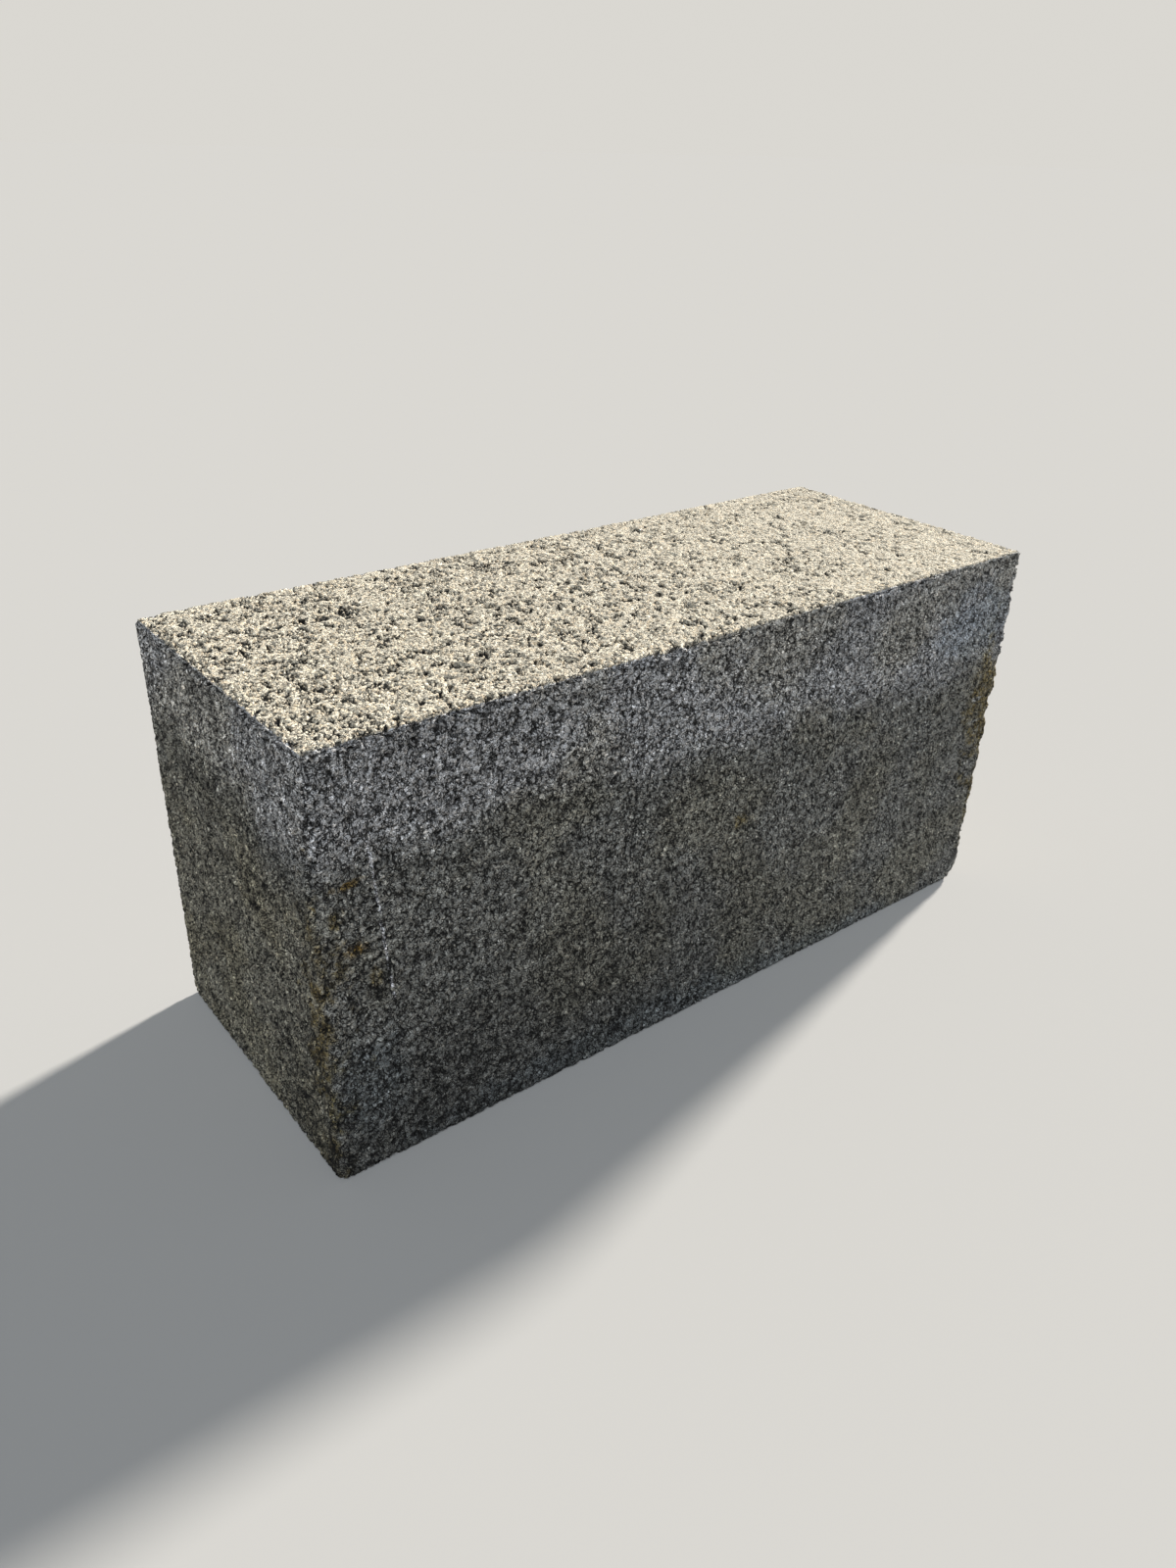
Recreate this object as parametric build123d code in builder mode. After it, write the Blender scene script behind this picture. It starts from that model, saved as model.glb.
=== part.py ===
from build123d import *
import os

# Work size of the block in mm. With its 10 mm joints it fills a 400 x 200 mm place in a wall.
block_length = 390
block_width = 150
block_height = 190

# Arrises, as the mould and the handling leave them
top_arris_radius = 1.2
foot_arris_radius = 2.5
front_left_arris_radius = 5
front_right_arris_radius = 1.2
back_left_arris_radius = 3
back_right_arris_radius = 3.5

# The front right arris is rubbed off, more and more towards the foot
rub_start_depth = 48
rub_width_at_foot = 4.5

# Breaks are shell-shaped: the radius of the shell, and how deep it goes in from the sharp outline.
# Broken corners
top_left_corner_break = (9, 3.4)
back_left_corner_break = (6, 2.6)
foot_right_corner_break = (36, 7.4)
foot_back_corner_break = (14, 4.2)

# Bites out of the top front arris: distance from the left end, radius, depth
top_front_bites = [
    (14, 7, 2.2),
    (46, 6, 1.6),
    (119, 5, 2.3),
    (159, 8, 3.4),
    (170, 9, 2.9),
    (183, 10, 2.6),
    (197, 11, 2.2),
    (262, 7, 1.6),
    (321, 6, 1.5),
]

# Bites out of the top left arris: distance from the back, radius, depth
top_left_bites = [
    (33, 9, 2.4),
    (44, 7, 1.6),
    (97, 6, 1.5),
]

# Bites out of the front right arris: depth below the top, radius, depth
right_arris_bites = [
    (36, 8, 1.4),
    (60, 9, 2.2),
    (80, 6, 3.0),
    (89, 6, 3.2),
    (107, 9, 2.5),
    (124, 7, 3.0),
    (143, 10, 3.4),
    (162, 7, 3.8),
]

# Open pits in the top bed: distance from the left end, distance from the back, radius, depth
top_pits = [
    (38, 40, 2.2, 2.4),
    (55, 40, 1.9, 2.0),
    (72, 40, 2.6, 2.8),
    (129, 29, 2.4, 2.6),
    (127, 68, 3.2, 3.6),
    (172, 69, 2.8, 3.2),
    (214, 41, 3.2, 3.0),
    (272, 67, 2.2, 2.4),
    (197, 97, 2.5, 2.6),
    (199, 115, 2.6, 2.8),
    (82, 114, 3.6, 3.0),
    (120, 135, 3.0, 3.2),
]

left_end = -block_length / 2
right_end = block_length / 2
front = -block_width / 2
back = block_width / 2


def knock_out(x, y, z, outward, radius, depth):
    """Take a shell-shaped piece out of the block at a point of its sharp outline."""
    centre = Vector(x, y, z) + Vector(outward).normalized() * (radius - depth)
    with Locations(centre):
        Sphere(radius, mode=Mode.SUBTRACT)


with BuildPart() as concrete_block:
    # The moulded block stands on its foot, with the origin at the middle of the foot
    with BuildSketch():
        Rectangle(block_length, block_width)
    extrude(amount=block_height)

    # The uprights first, each with its own wear, then the rings round the top and the foot
    uprights = edges().filter_by(Axis.Z)
    left_uprights, right_uprights = uprights.group_by(Axis.X)
    front_left, back_left = left_uprights.sort_by(Axis.Y)
    front_right, back_right = right_uprights.sort_by(Axis.Y)
    fillet(front_left, radius=front_left_arris_radius)
    fillet(back_left, radius=back_left_arris_radius)
    fillet(front_right, radius=front_right_arris_radius)
    fillet(back_right, radius=back_right_arris_radius)
    fillet(edges().group_by(Axis.Z)[-1], radius=top_arris_radius)
    fillet(edges().group_by(Axis.Z)[0], radius=foot_arris_radius)

    # A sloping plane through the front right arris rubs it off from the start depth to the foot
    rub_start = Vector(right_end, front, block_height - rub_start_depth)
    rub_foot = Vector(right_end - rub_width_at_foot / 2, front + rub_width_at_foot / 2, 0)
    across_arris = Vector(1, 1, 0)
    rubbed_plane = Plane(
        origin=rub_start,
        x_dir=across_arris,
        z_dir=across_arris.cross(rub_foot - rub_start),
    )
    split(bisect_by=rubbed_plane, keep=Keep.TOP)

    # Broken corners
    knock_out(left_end, front, block_height, (-1, -1, 1), *top_left_corner_break)
    knock_out(left_end, back, block_height, (-1, 1, 1), *back_left_corner_break)
    knock_out(right_end, front, 0, (1, -1, -1), *foot_right_corner_break)
    knock_out(left_end, back, 0, (-1, 1, -1), *foot_back_corner_break)

    # Bites along the arrises
    for from_left, radius, depth in top_front_bites:
        knock_out(left_end + from_left, front, block_height, (0, -1, 1), radius, depth)
    for from_back, radius, depth in top_left_bites:
        knock_out(left_end, back - from_back, block_height, (-1, 0, 1), radius, depth)
    for from_top, radius, depth in right_arris_bites:
        knock_out(right_end, front, block_height - from_top, (1, -1, 0), radius, depth)

    # Pits where the mix did not close up under the tamper
    for from_left, from_back, radius, depth in top_pits:
        knock_out(left_end + from_left, back - from_back, block_height, (0, 0, 1), radius, depth)

concrete_block.part.label = "concrete_block"

os.makedirs("parts", exist_ok=True)
export_step(concrete_block.part, "parts/concrete_block.step")
print("concrete_block volume in cm3:", round(concrete_block.part.volume / 1000, 1))
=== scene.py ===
import math

import bpy
import numpy as np
from mathutils import Euler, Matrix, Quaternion, Vector
from mathutils.bvhtree import BVHTree


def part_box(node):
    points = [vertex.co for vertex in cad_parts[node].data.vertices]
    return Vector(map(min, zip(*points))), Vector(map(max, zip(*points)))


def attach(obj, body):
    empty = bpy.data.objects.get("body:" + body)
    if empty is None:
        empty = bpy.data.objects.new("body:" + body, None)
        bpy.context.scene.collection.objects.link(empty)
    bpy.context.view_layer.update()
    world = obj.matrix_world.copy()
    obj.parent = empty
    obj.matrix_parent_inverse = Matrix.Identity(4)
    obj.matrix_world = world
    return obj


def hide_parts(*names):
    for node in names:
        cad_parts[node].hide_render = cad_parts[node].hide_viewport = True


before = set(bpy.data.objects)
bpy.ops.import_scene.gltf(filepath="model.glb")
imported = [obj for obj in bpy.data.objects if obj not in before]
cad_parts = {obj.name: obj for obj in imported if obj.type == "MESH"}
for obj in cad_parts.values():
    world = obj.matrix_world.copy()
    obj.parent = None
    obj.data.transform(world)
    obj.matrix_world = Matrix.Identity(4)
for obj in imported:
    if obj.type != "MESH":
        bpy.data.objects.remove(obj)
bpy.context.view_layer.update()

MM = 0.001

# The block from the frame, in metres, and its three measures in mm
block_low, block_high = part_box("concrete_block")
block_size = block_high - block_low
block_middle = (block_low + block_high) / 2
length, width, height = (size / MM for size in block_size)

# The sides of the block, each with its directions across, up and outward
to_left = (-1, 0, 0)
to_right = (1, 0, 0)
to_front = (0, -1, 0)
to_back = (0, 1, 0)
to_foot = (0, 0, -1)
to_top = (0, 0, 1)
sides = {
    "front": (to_right, to_top, to_front),
    "back": (to_left, to_top, to_back),
    "left_end": (to_front, to_top, to_left),
    "right_end": (to_back, to_top, to_right),
}
foot_bed = (to_right, to_front, to_foot)
top_bed = (to_right, to_back, to_top)
top_parts = ("left", "middle", "right")

# The skin is a net on each side of the block, laid on the solid by rays, twice as fine on the top bed
net_pitch = 1.04 * MM
guide_radius = 3 * MM  # how far from an arris the rays start to fan round it
ray_clearance = 2 * MM
deepest_hit = 12 * MM
flat_map_margin = 0.004

# Sizes of the mix, in mm
coarse_grain = 3.2
middle_grain = 1.35
fine_grain = 0.7
sand_grain = 0.55

# A grain's radius and its random part, as shares of its size, and how much its cut may slant
grain_fill = 0.4
grain_spread = 0.3
grain_slant = 0.9

# Bends in the shapes of the grains: their size and their reach, in mm
bend_size = 1.2
bend_reach = 1.7

# Winding gaps round the grains: size in mm, breadth as a share of the noise, shift of their breaks
crevice_kinds = [(5.0, 0.04, 70), (2.4, 0.044, 110)]

# Depths of the texture, in mm
flush_depth = 0.8
lost_grain_depth = 2.0
slit_depth = 1.3
groove_depth = 0.6
wave_depth = 0.3
deepest = 3.0
back_share = 0.6  # of the depth of the other sides, on the back

# Slow changes along the block run to this far from its middle, in mm
slow_reach = 190
fewer_slits = 0.0003  # lost per mm to the right

# Marks on the faces, in mm: from the left end and down from the top, with their reach across and down
band_depth = 52
band_slope = 0.045
rust_spots = [(14, 55, 6, 3), (16.5, 83, 4.5, 4)]
moss_stains = [(-6, 125, 19, 85), (22, 100, 3, 5), (7, 68, 3, 6), (208, 94, 7, 4), (381, 82, 17, 42),
               (371, 83, 13, 3), (389, 130, 9, 45)]
pale_chips = [(375, 77, 7, 1.6), (376, 90, 7, 1.6), (180, 47, 16, 3)]
pale_patches = [(205, 31, 60, 24), (110, 22, 40, 14), (300, 38, 50, 16)]
# The bluish patches are partly a real tint and partly painted skylight
blue_and_skylight_patches = [(362, 34, 38, 28), (16, 146, 26, 34), (150, 184, 150, 16), (250, 188, 110, 12)]
# The two dark patches low on the left of the front are painted shade at the foot
shaded_foot_patches = [(70, 190, 235, 115)]
darkest_foot_shade = [(50, 190, 150, 50)]

# Straight marks on the front: the two ends of each, from the left end and down from the top
scratch = ((22.5, 38), (29.5, 114))
scratch_breadth = 0.8
scuffs = [((226, 80), (356, 172)), ((246, 104), (352, 186))]
scuff_breadth = 4.0

# Upright grooves low on the left end, from the back
groove_places = (40, 102)

# Contrast of the grains and of their painted shade; on the right end they keep near their mean shade
side_contrast = 1.05
top_contrast = 1.3
mean_shade = 0.66
right_end_evenness = 0.45

# Colours of the paste, and of what covers it
paste_below = (0.415, 0.41, 0.38)
paste_in_band = (0.70, 0.695, 0.70)
# The top bed's paste is paler and warmer, partly its own colour and partly painted sunlight
top_paste_and_sunlight = (0.81, 0.725, 0.57)
chip_colour = (1.0, 1.0, 0.98)
scratch_colour = (1.25, 1.25, 1.3)

# Tints that the paste and the grains are multiplied by
brown_tint = (1.0, 0.97, 0.88)
# The bluish tint is partly painted skylight
blue_and_skylight_tint = (0.86, 0.98, 1.12)
low_end_tint = (1.2, 1.14, 0.99)
end_band_tint = (1.15, 1.14, 1.12)
# The right end is darker, painted shade against the key lamp that meets it straight
right_end_shade_tint = (0.82, 0.78, 0.72)
moss_tint = (0.84, 0.68, 0.35)
rust_tint = (0.92, 0.60, 0.15)
cool_grain_tint = (0.96, 1.0, 1.05)
warm_grain_tint = (1.05, 0.97, 0.88)

# The studio; the floor shows paler than it reflects
floor_reach = 30.0
floor_colour = (0.3, 0.295, 0.285)
floor_shown = (0.53, 0.525, 0.515)
backdrop_colour = (0.70, 0.683, 0.643)
sky_colour = (0.95, 0.98, 1.0)
sky_strength = 0.14
lamps = {  # azimuth, elevation and breadth in degrees, strength, colour
    "key": (13, 28, 5, 5.9, (1.0, 0.95, 0.87)),
    "fill": (232, 52, 25, 1.4, (0.88, 0.94, 1.0)),
}

# The photograph's camera: places in metres, roll in degrees, lens and sensor in mm
camera_place = (-0.3319, -0.3969, 0.3648)
camera_target = (-0.0764, -0.0750, 0.1428)
camera_roll = 1.58
camera_lens = 27.44
camera_sensor = 36.0
camera_clip_start = 0.01


class Wire:
    """A number, vector or colour that runs through a node tree, so that sums read as sums."""

    def __init__(self, tree, socket):
        self.tree = tree
        self.socket = socket

    def put(self, kind, inputs, **settings):
        """A new node that is fed with these wires and values."""
        node = self.tree.nodes.new(kind)
        for name, value in settings.items():
            setattr(node, name, value)
        for key, value in inputs.items():
            if isinstance(value, Wire):
                self.tree.links.new(value.socket, node.inputs[key])
            else:
                node.inputs[key].default_value = value
        return node

    def make(self, kind, inputs, output=0, **settings):
        """The wire that comes out of a new node."""
        return Wire(self.tree, self.put(kind, inputs, **settings).outputs[output])

    def make_three(self, kind, inputs):
        """The wires that come out of the first three outputs of a new node."""
        node = self.put(kind, inputs)
        return [Wire(self.tree, node.outputs[i]) for i in range(3)]

    def sum(self, operation, *values):
        inputs = dict(enumerate((self, *values)))
        return self.make("ShaderNodeMath", inputs, operation=operation)

    def vector_sum(self, operation, *values, output=0):
        inputs = dict(enumerate((self, *values)))
        return self.make("ShaderNodeVectorMath", inputs, output, operation=operation)

    def __add__(self, other):
        return self.sum("ADD", other)

    def __sub__(self, other):
        return self.sum("SUBTRACT", other)

    def __mul__(self, other):
        return self.sum("MULTIPLY", other)

    def __rsub__(self, other):
        return (self * -1.0) + other

    __radd__ = __add__

    def at_most(self, other):
        return self.sum("MINIMUM", other)

    def at_least(self, other):
        return self.sum("MAXIMUM", other)

    def size(self):
        """How far this number is from 0."""
        return self.sum("ABSOLUTE")

    def ramp(self, low, high, start=0.0, end=1.0, **settings):
        """A straight slope from start to end as the value goes from low to high."""
        inputs = {0: self, 1: low, 2: high, 3: start, 4: end}
        return self.make("ShaderNodeMapRange", inputs, **settings)

    def step(self, low, high, start=0.0, end=1.0):
        """A soft step from start to end as the value goes from low to high."""
        return self.ramp(low, high, start, end, interpolation_type="SMOOTHSTEP")

    def pick(self, start, end):
        """The start where this share is 0, the end where it is 1, and between them what lies between."""
        return self.ramp(0, 1, start, end)

    def blend(self, other, share):
        """This number, with a share of another one."""
        return self.make("ShaderNodeMix", {0: share, 2: self, 3: other}, data_type="FLOAT")

    def between(self, first, second):
        """The first colour where this share is 0, the second where it is 1."""
        inputs = {0: self, 6: (*first, 1), 7: (*second, 1)}
        return self.make("ShaderNodeMix", inputs, output=2, data_type="RGBA")

    def cover(self, colour, share, mode="MIX"):
        """This colour, covered by another one as far as the share goes."""
        other = colour if isinstance(colour, Wire) else (*colour, 1)
        inputs = {0: share, 6: self, 7: other}
        return self.make("ShaderNodeMix", inputs, output=2, data_type="RGBA", blend_type=mode)

    def tint(self, colour, share=1.0):
        """This colour, multiplied by another one as far as the share goes."""
        return self.cover(colour, share, mode="MULTIPLY")

    def grey(self):
        return self.make("ShaderNodeCombineColor", {0: self, 1: self, 2: self})

    def axes(self):
        return self.make_three("ShaderNodeSeparateXYZ", {0: self})

    def shift(self, offset):
        return self.vector_sum("ADD", offset)

    def stretch(self, factors):
        return self.vector_sum("MULTIPLY", factors)

    def in_mm(self):
        return self.stretch((1 / MM, 1 / MM, 1 / MM))

    def dot(self, direction):
        return self.vector_sum("DOT_PRODUCT", direction, output=1)

    def noise(self, size, detail=2.0, roughness=0.5, output=0):
        """Soft noise with lumps of about this size; output 1 is a vector.

        A shifted place gives noise that has nothing in common with the noise at the place itself.
        """
        inputs = {"Vector": self, "Scale": 1 / size, "Detail": detail, "Roughness": roughness}
        return self.make("ShaderNodeTexNoise", inputs, output)

    def swing(self, size, reach, detail=2.0):
        """Soft noise from -reach to reach."""
        return self.noise(size, detail).ramp(0.3, 0.7, -reach, reach)

    def cells(self, size):
        """Cells of about this size: the distance from the middle, a random colour, the middle."""
        inputs = {"Vector": self, "Scale": 1 / size}
        distance, colour, middle = self.make_three("ShaderNodeTexVoronoi", inputs)
        return distance * size, colour, middle


def along(place, at_left, at_right):
    """A value that changes slowly from the left end to the right one."""
    return place.axes()[0].ramp(-slow_reach, slow_reach, at_left, at_right)


def right_half(place, at_middle, at_right):
    """A value that stays the same up to the middle, and then changes slowly to the right end."""
    return place.axes()[0].ramp(0, slow_reach, at_middle, at_right)


def bend_place(place):
    """The same place, pushed about a little, so that no grain is a true ball."""
    push = place.noise(bend_size, detail=1.0, output=1).shift((-0.5, -0.5, -0.5))
    return push.vector_sum("MULTIPLY_ADD", (bend_reach, bend_reach, bend_reach), place)


def grain_layer(bent, size):
    """Grains of one size in a loose packing, cut by the face, each with its own slant.

    Gives how high each stands, 0 between the grains and about 1 at a top, and three random numbers.
    """
    distance, tone, centre = bent.cells(size)
    chances = tone.axes()
    radius = chances[0] * (grain_spread * size) + grain_fill * size
    share = distance.sum("DIVIDE", radius)
    slant = grain_slant / size
    facing = tone.shift((-0.5, -0.5, -0.5)).stretch((slant, slant, slant))
    tilt = bent.vector_sum("SUBTRACT", centre).vector_sum("DOT_PRODUCT", facing, output=1)
    return (1.0 - share * share + tilt).at_least(0.0), chances


def crevices(place):
    """Thin winding gaps round grains and clusters of them, from 0 to 1 in the middle of one."""
    place = place.stretch((1, 1, 0.65))
    lines = []
    for size, breadth, shift in crevice_kinds:
        winding = place.noise(size, detail=2.0, roughness=0.7)
        line = (winding - 0.5).size().step(0.004, breadth, 1.0, 0.0)
        lines.append(line * place.shift((shift, 0, 0)).noise(size, detail=1.0).step(0.42, 0.52))
    return lines[0].at_least(lines[1])


def slits(place):
    """Short winding openings left by the tamper on the top bed, from 0 to 1 in the middle of one."""
    winding = place.shift((0, 160, 0)).noise(4.6, detail=2.0)
    line = (winding - 0.5).size().step(0.014, 0.05, 1.0, 0.0)
    breaks = place.shift((150, 0, 0)).noise(6.0, detail=1.0) - place.axes()[0] * fewer_slits
    return line * breaks.step(0.53, 0.57)


def pores(place):
    """Irregular small holes where the mix did not close, and upright ones torn open on the ends."""
    holes = place.shift((0, 90, 0)).noise(2.1, detail=2.0, roughness=0.7).step(0.66, 0.71)
    torn = place.stretch((1, 1, 0.5)).noise(2.6, detail=3.0, roughness=0.6).step(0.60, 0.66)
    on_ends = place.axes()[0].size().step(length / 2 - 5, length / 2 - 4)
    return holes.at_least(torn * on_ends)


def grooves(place):
    """Two faint upright grooves low on the left end, from 0 to 1 in their middles."""
    x, y, z = place.axes()
    lines = []
    for from_back in groove_places:
        lines.append((y - (width / 2 - from_back)).size().step(0.5, 1.6, 1.0, 0.0))
    on_left_end = x.step(-length / 2, 5 - length / 2, 1.0, 0.0)
    return lines[0].at_least(lines[1]) * z.step(50, 60, 1.0, 0.0) * on_left_end


def to_arris(place):
    """How far a place is from the nearest arris of the block: the middle one of three distances."""
    x, y, z = place.axes()
    from_end = length / 2 - x.size()
    from_side = width / 2 - y.size()
    from_bed = z.at_most(height - z)
    low = from_end.at_most(from_side)
    high = from_end.at_least(from_side)
    return low.at_least(high.at_most(from_bed))


def texture_depth(place, outward):
    """How deep the texture lies in the face of the solid, in mm."""
    x, y, z = place.axes()
    top = outward.dot(to_top).step(0.64, 0.74)
    bent = bend_place(place)
    coarse, coarse_chances = grain_layer(bent, coarse_grain)
    middle, middle_chances = grain_layer(bent, middle_grain)

    # The mould wall has pressed the grains level; under the tamper they stay uneven, and some are lost
    flush = 1.0 - (coarse * 2.2).at_least(middle * 1.9).at_most(1.0)
    uneven = 1.0 - (coarse * 1.5).at_least(middle * 2.5).at_most(1.0)
    uneven = uneven * 0.35 + middle_chances[0] * 0.32 + coarse_chances[0].step(0.7, 0.76) * 0.5
    kept = place.noise(16.0, detail=1.0).ramp(0.4, 0.62, 0.97, 0.79) + along(place, -0.06, 0.04)
    lost = (coarse_chances[1] - kept).step(0.0, 0.01)
    lost = lost * place.shift((0, 40, 0)).noise(1.8, detail=2.0).step(0.42, 0.52)
    uneven = uneven + lost * lost_grain_depth + slits(place) * slit_depth
    grain = (flush * flush_depth).blend(uneven, top) * right_half(place, 1.0, 0.55)
    openings = grain + crevices(place) * top.pick(0.7, 0.25) + pores(place) * top.pick(1.0, 1.4)
    openings = openings * y.step(width / 2 - 6, width / 2 - 3, 1.0, back_share)

    # The arrises have crumbled in small steep steps, most of all along the front of the top bed
    reach = place.noise(3.4, detail=2.0).ramp(0.48, 0.57, -0.5, 3.9)
    reach = reach * z.step(4, 150, 0.3, 1.0) * y.step(30, 70, 1.0, 0.3) * x.step(50, 180, 1.0, 0.5)
    crumbled = (reach - to_arris(place)).step(0.0, 0.4) * (coarse_chances[2] * 1.4 + 1.4)

    waves = place.noise(40.0, detail=2.0).ramp(0.3, 0.7)
    depth = openings + crumbled + grooves(place) * groove_depth + waves * wave_depth
    return depth.at_most(deepest)


def relief_tree():
    """Geometry nodes that sink the skin into the block by the depth of its texture."""
    tree = bpy.data.node_groups.new("open_texture", "GeometryNodeTree")
    tree.interface.new_socket("Geometry", in_out="INPUT", socket_type="NodeSocketGeometry")
    tree.interface.new_socket("Geometry", in_out="OUTPUT", socket_type="NodeSocketGeometry")
    start = tree.nodes.new("NodeGroupInput")
    end = tree.nodes.new("NodeGroupOutput")

    def mesh_vector(name):
        node = tree.nodes.new("GeometryNodeInputNamedAttribute")
        node.data_type = "FLOAT_VECTOR"
        node.inputs[0].default_value = name
        return Wire(tree, node.outputs[0])

    outward = mesh_vector("outward")
    depth = texture_depth(mesh_vector("rest").in_mm(), outward)
    move = outward.make("ShaderNodeVectorMath", {0: outward, "Scale": depth * -MM}, operation="SCALE")
    set_position = tree.nodes.new("GeometryNodeSetPosition")
    tree.links.new(start.outputs[0], set_position.inputs["Geometry"])
    tree.links.new(move.socket, set_position.inputs["Offset"])
    tree.links.new(set_position.outputs["Geometry"], end.inputs[0])
    return tree


def net(columns, rows, fine_edge=False):
    """Places and faces of a net over a square from 0 to 1, whose last row may be twice as fine."""
    across, up = np.meshgrid(np.linspace(0, 1, columns + 1), np.linspace(0, 1, rows + 1))
    across, up = across.ravel(), up.ravel()
    corner = np.arange(rows)[:, None] * (columns + 1) + np.arange(columns)
    quads = corner.reshape(-1, 1) + [0, 1, columns + 2, columns + 1]
    triangles = np.empty((0, 3), int)
    if fine_edge:
        edge = rows * (columns + 1)
        across = np.append(across[:edge], np.linspace(0, 1, 2 * columns + 1))
        up = np.append(up[:edge], np.ones(2 * columns + 1))
        quads = quads[:-columns]
        low = corner[-1]
        high = edge + 2 * np.arange(columns)
        fans = [(low, low + 1, high + 1), (low, high + 1, high), (low + 1, high + 2, high + 1)]
        triangles = np.concatenate([np.stack(fan, axis=1) for fan in fans])
    return across, up, quads, triangles


def lay_on(surface, axes, s, t):
    """Places from -1 to 1 across and up a side, laid on the solid by rays, with their directions."""
    across, up, outward = (np.array(axis, float) for axis in axes)
    half = np.array(block_size) / 2
    sharp = s[:, None] * across * half + t[:, None] * up * half + outward * half
    core = np.clip(sharp, guide_radius - half, half - guide_radius)
    directions = sharp - core
    directions /= np.linalg.norm(directions, axis=1, keepdims=True)
    starts = core + directions * (guide_radius + ray_clearance) + np.array(block_middle)
    places = np.empty_like(starts)
    for i, (start, direction) in enumerate(zip(starts.tolist(), directions.tolist())):
        inward = (-direction[0], -direction[1], -direction[2])
        hit, _, _, distance = surface.ray_cast(start, inward)
        if hit is None or distance > deepest_hit:
            hit = surface.find_nearest(start)[0]
        places[i] = hit
    return places, directions


def net_mesh(name, places, across, up, quads, triangles):
    """A mesh through the places of a net, with the net itself as its flat map."""
    mesh = bpy.data.meshes.new(name)
    corners = np.append(quads.ravel(), triangles.ravel())
    starts = np.append(np.arange(len(quads)) * 4, quads.size + np.arange(len(triangles)) * 3)
    mesh.vertices.add(len(places))
    mesh.vertices.foreach_set("co", places.ravel())
    mesh.loops.add(corners.size)
    mesh.loops.foreach_set("vertex_index", corners)
    mesh.polygons.add(len(starts))
    mesh.polygons.foreach_set("loop_start", starts)
    mesh.update(calc_edges=True)
    flat = np.stack([across, up], axis=1)[corners] * (1 - 2 * flat_map_margin) + flat_map_margin
    mesh.uv_layers.new(name="OFBake").data.foreach_set("uv", flat.ravel())
    return mesh


def keep_attribute(mesh, name, vectors):
    layer = mesh.attributes.new(name, "FLOAT_VECTOR", "POINT")
    layer.data.foreach_set("vector", np.ascontiguousarray(vectors, np.float32).ravel())


def make_skin(name, axes, columns, rows, part=(0, 1), fine_edge=False):
    """One side of the block's open-grained skin, or a part of its length, as a finished mesh."""
    across, up, quads, triangles = net(columns, rows, fine_edge)
    start, end = part
    along_side = start + (end - start) * across
    places, directions = lay_on(surface, axes, along_side * 2 - 1, up * 2 - 1)
    mesh = net_mesh("block_" + name, places, across, up, quads, triangles)
    keep_attribute(mesh, "rest", places)
    keep_attribute(mesh, "outward", directions)
    piece = bpy.data.objects.new("block_" + name, mesh)
    bpy.context.scene.collection.objects.link(piece)
    piece.modifiers.new("open_texture", "NODES").node_group = texture
    graph = bpy.context.evaluated_depsgraph_get()
    finished = bpy.data.meshes.new_from_object(piece.evaluated_get(graph))
    piece.modifiers.clear()
    piece.data = finished
    finished.name = "block_" + name
    bpy.data.meshes.remove(mesh)
    finished.materials.append(concrete)
    finished.polygons.foreach_set("use_smooth", np.ones(len(finished.polygons), bool))
    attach(piece, "root")
    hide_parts("concrete_block")


def on_front(from_left, down):
    return from_left - length / 2, -width / 2, height - down


def spots(place, ragged, marks):
    """Ragged patches on the front and round its arrises: 1 in their middles, 0 past their reaches."""
    found = None
    for from_left, down, reach_across, reach_down in marks:
        middle = on_front(from_left, down)
        reach = (reach_across, min(max(reach_across, 8), 70), reach_down)
        away = place.shift([-m for m in middle]).stretch([1 / r for r in reach])
        spot = (away.vector_sum("LENGTH", output=1) + ragged).step(0.35, 1.0, 1.0, 0.0)
        found = found.at_least(spot) if found else spot
    return found


def line_mark(place, ends, breadth):
    """A straight mark across the front: 1 along its middle, 0 past its breadth and beyond its ends."""
    start, end = (Vector(on_front(*point)) for point in ends)
    along_mark = (end - start).normalized()
    away = place.shift(-start)
    across = away.dot(along_mark.cross(to_back)).size().step(breadth * 0.3, breadth, 1.0, 0.0)
    run = away.dot(along_mark)
    span = (end - start).length
    return across * run.step(0, 4) * run.step(span - 4, span, 1.0, 0.0)


def paste_tone(place, ragged, band, end):
    """How light the paste is, about 1: marks of the mould, lying layers, lumps, clouds and patches."""
    # The paste is also darker low on the front by the foot, as painted shade
    drawn = place.stretch((1, 1, 0.09)).swing(1.5, 0.3, detail=1.0)
    drawn = drawn * band.pick(0.35, 1.0) * end.pick(0.3, 1.0)
    layers = place.stretch((0.08, 0.08, 1)).swing(5.0, 0.14)
    lumps = place.swing(3.6, 0.4) * along(place, 1.0, 0.2)
    cloudy = place.shift((0, 0, 30)).swing(11.0, 0.3, detail=3.0) * end
    tone = 1.0 + drawn + layers + lumps + cloudy + ragged * 0.12
    tone = tone + spots(place, ragged, pale_patches) * 0.16
    # Painted shade: darker low on the front by the foot
    tone = tone - spots(place, ragged * 0.3, shaded_foot_patches) * 0.33
    return tone - spots(place, ragged * 0.3, darkest_foot_shade) * 0.14


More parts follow.
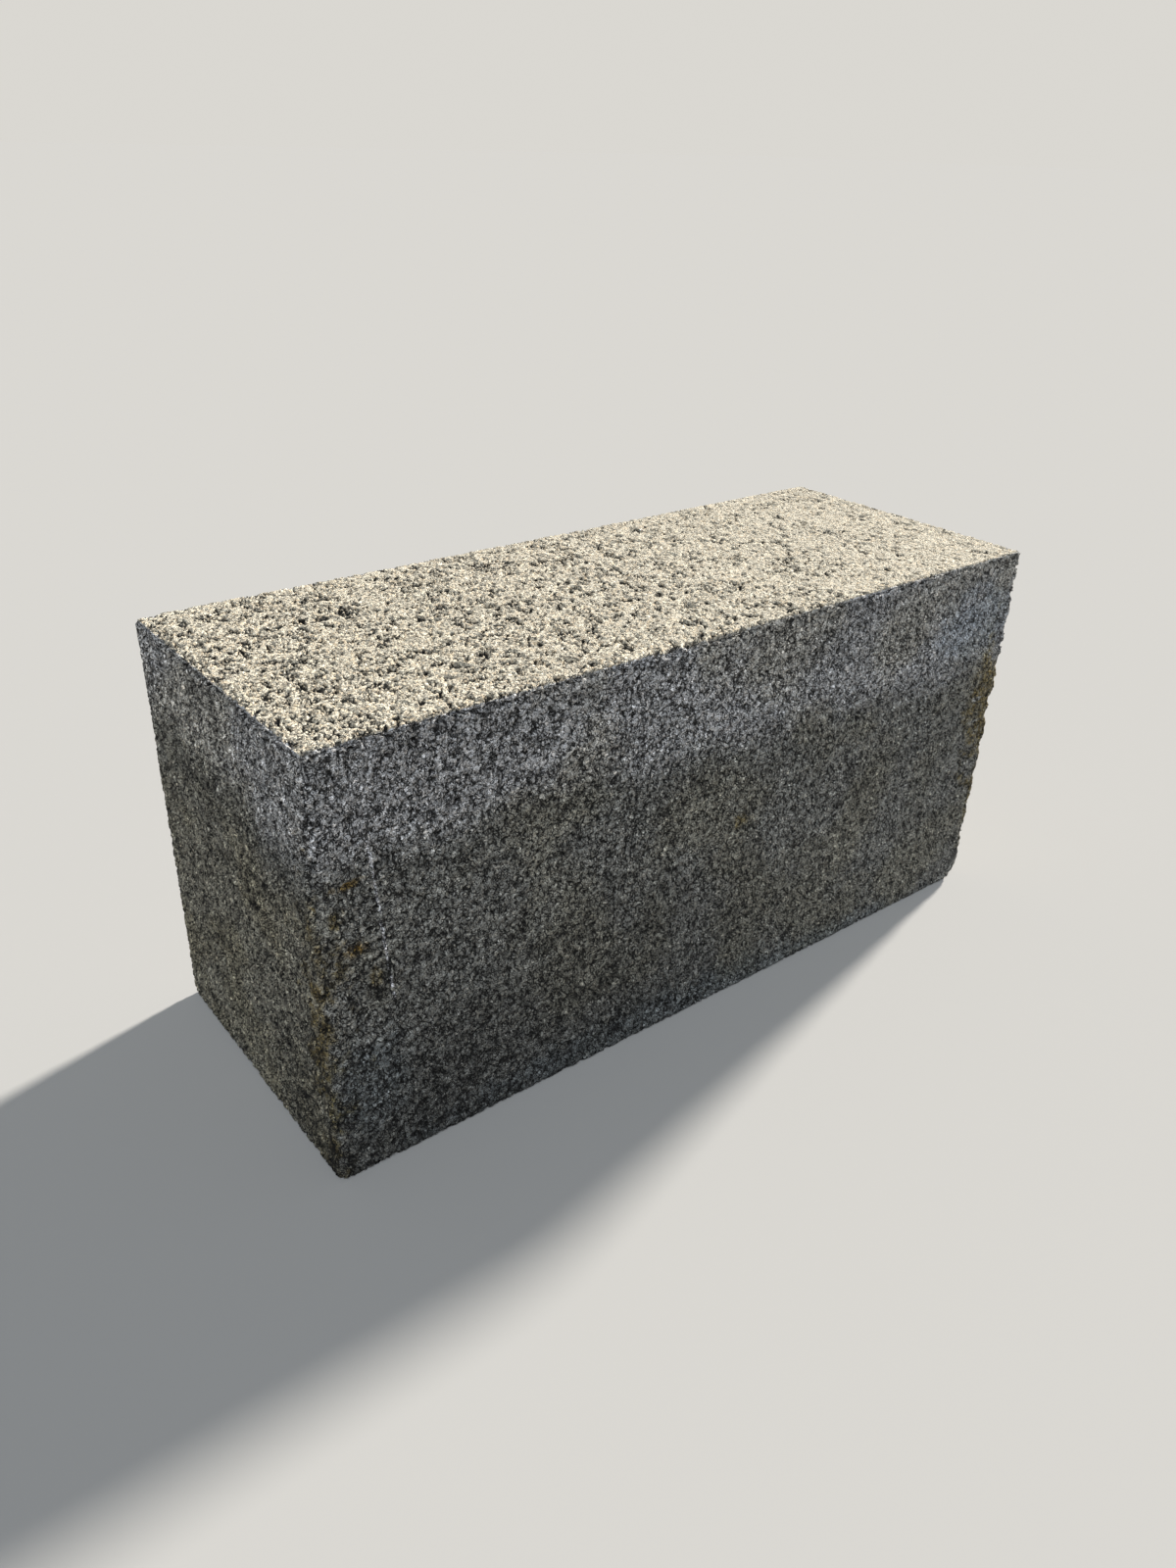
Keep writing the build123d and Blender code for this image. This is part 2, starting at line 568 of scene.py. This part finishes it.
def face_colour(place, outward, shaded_ledge):
    """The paste's colour over the faces: the moulded band, stains, scuffs and tints.

    The top bed is paler and warmer, partly its own colour and partly painted sunlight; on the sunk
    ledges where the arrises are broken it keeps the darker colour of the sides, as painted shade.
    """
    x, y, z = place.axes()
    down = height - z
    front = outward.dot(to_front).step(0.9, 0.99)
    end = outward.dot(to_right).size().step(0.8, 0.95)
    right_end = outward.dot(to_right).step(0.8, 0.95)
    top = outward.dot(to_top).step(0.74, 0.86)
    ragged = place.noise(9.0, detail=4.0, roughness=0.6).ramp(0.25, 0.75, -0.6, 0.6)
    patchy = place.noise(55.0, detail=3.0)
    broken = place.noise(2.2, detail=2.0).step(0.38, 0.55)
    dashes = place.shift((0, 0, 20)).noise(3.0, detail=2.0).step(0.42, 0.48)

    # Grey paste with a lighter band under the top arris, browner and darker below it
    edge = down - x * band_slope + patchy.ramp(0.3, 0.7, -6, 6) + ragged * 8.0
    band = edge.step(band_depth - 12, band_depth + 10, 1.0, 0.0) * right_end.pick(1.0, 0.5)
    colour = band.between(paste_below, paste_in_band)
    colour = colour.tint(brown_tint, patchy.step(0.45, 0.62))
    tone = paste_tone(place, ragged, band, end)
    for scuff in scuffs:
        tone = tone + line_mark(place, scuff, scuff_breadth) * front * (ragged + 0.6) * 0.3
    colour = colour.tint(tone.grey())

    # Bluish patches, partly painted skylight, warmer ends, a darker right end, and stains
    colour = colour.tint(blue_and_skylight_tint, spots(place, ragged * 0.6, blue_and_skylight_patches) * 0.55)
    colour = colour.tint(low_end_tint, end * down.step(45, 80))
    colour = colour.tint(end_band_tint, end * band)
    # The right end is darkened as painted shade, to offset the key lamp that meets it straight
    colour = colour.tint(right_end_shade_tint, right_end)
    colour = colour.tint(moss_tint, spots(place, ragged * 1.2, moss_stains) * broken.pick(0.4, 1.0))
    colour = colour.tint(rust_tint, spots(place, ragged * 1.5, rust_spots) * broken.pick(0.5, 1.0))

    # What lies over the paste, and the top bed, paler partly as painted sunlight, which is left off the
    # sunk ledges as painted shade
    colour = colour.cover(chip_colour, spots(place, ragged * 0.7, pale_chips) * broken * 0.8)
    colour = colour.cover(scratch_colour, line_mark(place, scratch, scratch_breadth) * front * dashes)
    return colour.cover(top_paste_and_sunlight, top * (1.0 - shaded_ledge))


def shader_vector(tree, name):
    node = tree.nodes.new("ShaderNodeAttribute")
    node.attribute_name = name
    return Wire(tree, node.outputs["Vector"])


def concrete_material():
    """Grains in grey paste, dark gaps and pores, and the bands and stains of the faces."""
    # The gaps, pores, hollows and pits and the paste between the grains are darkened with painted shade
    material = bpy.data.materials.new("concrete")
    material.use_nodes = True
    tree = material.node_tree
    shader = tree.nodes["Principled BSDF"]
    place = shader_vector(tree, "rest").in_mm()
    outward = shader_vector(tree, "outward")
    coordinates = tree.nodes.new("ShaderNodeTexCoord")
    sunk_place = Wire(tree, coordinates.outputs["Object"]).in_mm()
    depth = place.vector_sum("SUBTRACT", sunk_place).dot(outward)
    top = outward.dot(to_top).step(0.66, 0.73)
    inner = to_arris(place).step(1.5, 4.5)

    bent = bend_place(sunk_place)
    middle, middle_chances = grain_layer(bent, middle_grain)
    fine, fine_chances = grain_layer(bent, fine_grain)
    sand = sunk_place.noise(sand_grain, detail=1.0)
    gaps = crevices(place) * top.pick(1.0, 0.3)
    gaps = gaps.at_least(pores(place)).at_least(slits(place) * top)

    # Each grain has its own shade and a warm or cool tint, and a few are light
    in_middle = middle.step(0.0, 0.2)
    chance = fine_chances[1].blend(middle_chances[1], in_middle)
    shade = chance.pick(0.8, 1.1) + chance.step(0.86, 0.97, 0.0, 0.7) * (1.0 - top * 0.75)
    # On the top bed the grains are lighter overall, partly painted sunlight
    shade = shade + top * (fine_chances[0] * 0.4 - 0.02)
    hue = fine_chances[2].blend(middle_chances[2], in_middle)
    warmth = hue.step(0.55, 0.95).between(cool_grain_tint, warm_grain_tint)

    # Sand in the paste
    speck = sand.ramp(0.35, 0.65, 0.5, 1.6).blend(sand.ramp(0.3, 0.7, 0.85, 1.12), top)

    # Painted shade: the paste between the grains is darker, and the gaps, hollows and pits darker still,
    # where shade falls among the grains
    stand = (middle * 1.1).at_least(fine * top.pick(0.7, 0.25))
    uneven = place.shift((0, 0, 50)).noise(2.2, detail=1.0).ramp(0.3, 0.7, -0.14, 0.18)
    closed = top * place.axes()[0].ramp(-140, 160, 0.0, 0.07)
    stand = stand + uneven * top.pick(1.0, 0.5) + closed
    crease_shade = stand.step(0.0, top.pick(0.2, 0.12), top.pick(0.06, 0.22), 1.0)
    crease_shade = crease_shade.blend(0.9, right_half(place, 0.0, 0.3)) * gaps.pick(1.0, 0.08)
    hollow_shade = 1.0 - depth.step(top.pick(0.95, 1.0), 1.7) * inner * 0.85
    shaded_pit = (height - place.axes()[2]).step(0.8, 2.4) * outward.dot(to_top).step(0.99, 0.999)
    tone_and_shade = shade * crease_shade * speck * hollow_shade * shaded_pit.pick(1.0, 0.2)

    # The top bed has more contrast, partly painted grazing light and shade, and is a little darker to
    # the right; the right end has less
    tone_and_shade = tone_and_shade.sum("POWER", top.pick(side_contrast, top_contrast))
    tone_and_shade = tone_and_shade * (1.0 + top * along(place, 0.07, -0.07))
    evenness = outward.dot(to_right).step(0.8, 0.95, 0.0, right_end_evenness)
    tone_and_shade = tone_and_shade.blend(mean_shade, evenness)

    # The sunk ledges of the broken arrises, where the top's painted sunlight is left off: painted shade
    shaded_ledge = depth.step(1.1, 1.6) * (1.0 - inner)
    colour = face_colour(place, outward, shaded_ledge).tint(warmth, top.pick(0.4, 0.9))
    tree.links.new(colour.tint(tone_and_shade.grey()).socket, shader.inputs["Base Color"])
    shader.inputs["Specular IOR Level"].default_value = 0.5
    shader.inputs["Roughness"].default_value = 0.8

    bumps = middle.at_most(0.4) * top.pick(1.1, 0.8) + fine.at_most(0.4) * 0.5 - gaps
    bumps = bumps + sand * top.pick(0.8, 0.4)
    bumps = bumps * outward.dot(to_back).step(0.6, 0.9, 1.0, back_share)
    normal = bumps.make("ShaderNodeBump", {"Height": bumps, "Strength": 1.0, "Distance": MM})
    tree.links.new(normal.socket, shader.inputs["Normal"])
    return material


def make_floor():
    mesh = bpy.data.meshes.new("floor")
    corners = [(-floor_reach, -floor_reach, 0), (floor_reach, -floor_reach, 0),
               (floor_reach, floor_reach, 0), (-floor_reach, floor_reach, 0)]
    mesh.from_pydata(corners, [], [(0, 1, 2, 3)])
    floor = bpy.data.objects.new("floor", mesh)
    bpy.context.scene.collection.objects.link(floor)
    material = bpy.data.materials.new("floor")
    material.use_nodes = True
    tree = material.node_tree
    shader = tree.nodes["Principled BSDF"]
    path = tree.nodes.new("ShaderNodeLightPath")
    colour = Wire(tree, path.outputs["Is Camera Ray"]).between(floor_colour, floor_shown)
    tree.links.new(colour.socket, shader.inputs["Base Color"])
    shader.inputs["Roughness"].default_value = 0.9
    shader.inputs["Specular IOR Level"].default_value = 0.0
    mesh.materials.append(material)


def make_surroundings():
    """A dim sky that lights the block, and a plain backdrop that only shows."""
    world = bpy.data.worlds.new("studio")
    bpy.context.scene.world = world
    world.use_nodes = True
    tree = world.node_tree
    sky = tree.nodes["Background"]
    sky.inputs["Color"].default_value = (*sky_colour, 1)
    sky.inputs["Strength"].default_value = sky_strength
    backdrop = tree.nodes.new("ShaderNodeBackground")
    backdrop.inputs["Color"].default_value = (*backdrop_colour, 1)
    path = tree.nodes.new("ShaderNodeLightPath")
    mix = tree.nodes.new("ShaderNodeMixShader")
    tree.links.new(path.outputs["Is Camera Ray"], mix.inputs[0])
    tree.links.new(sky.outputs[0], mix.inputs[1])
    tree.links.new(backdrop.outputs[0], mix.inputs[2])
    tree.links.new(mix.outputs[0], tree.nodes["World Output"].inputs["Surface"])


def make_lamp(name, azimuth, elevation, breadth, strength, colour):
    lamp = bpy.data.lights.new(name, "SUN")
    lamp.energy = strength
    lamp.angle = math.radians(breadth)
    lamp.color = colour
    light = bpy.data.objects.new(name, lamp)
    light.rotation_euler = Euler((math.radians(90 - elevation), 0, math.radians(azimuth + 90)))
    bpy.context.scene.collection.objects.link(light)


def make_camera():
    data = bpy.data.cameras.new("camera")
    data.lens = camera_lens
    data.sensor_width = camera_sensor
    data.clip_start = camera_clip_start
    camera = bpy.data.objects.new("camera", data)
    place = Vector(camera_place)
    aim = (Vector(camera_target) - place).to_track_quat("-Z", "Y")
    camera.rotation_mode = "QUATERNION"
    camera.rotation_quaternion = aim @ Quaternion((0, 0, 1), math.radians(camera_roll))
    camera.location = place
    bpy.context.scene.collection.objects.link(camera)
    bpy.context.scene.camera = camera


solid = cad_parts["concrete_block"].data
solid.calc_loop_triangles()
surface = BVHTree.FromPolygons([v.co for v in solid.vertices],
                               [tuple(t.vertices) for t in solid.loop_triangles])
texture = relief_tree()
concrete = concrete_material()

length_count, width_count, height_count = (round(size / net_pitch) for size in block_size)
for name, axes in sides.items():
    columns = length_count if name in ("front", "back") else width_count
    make_skin(name, axes, columns, height_count, fine_edge=True)
make_skin("foot_bed", foot_bed, length_count, width_count)
part_count = len(top_parts)
for i, name in enumerate(top_parts):
    part = (i / part_count, (i + 1) / part_count)
    make_skin("top_bed_" + name, top_bed, 2 * length_count // part_count, 2 * width_count, part)

make_floor()
make_surroundings()
for name, lamp in lamps.items():
    make_lamp(name, *lamp)
make_camera()
bpy.context.scene.view_settings.view_transform = "Standard"
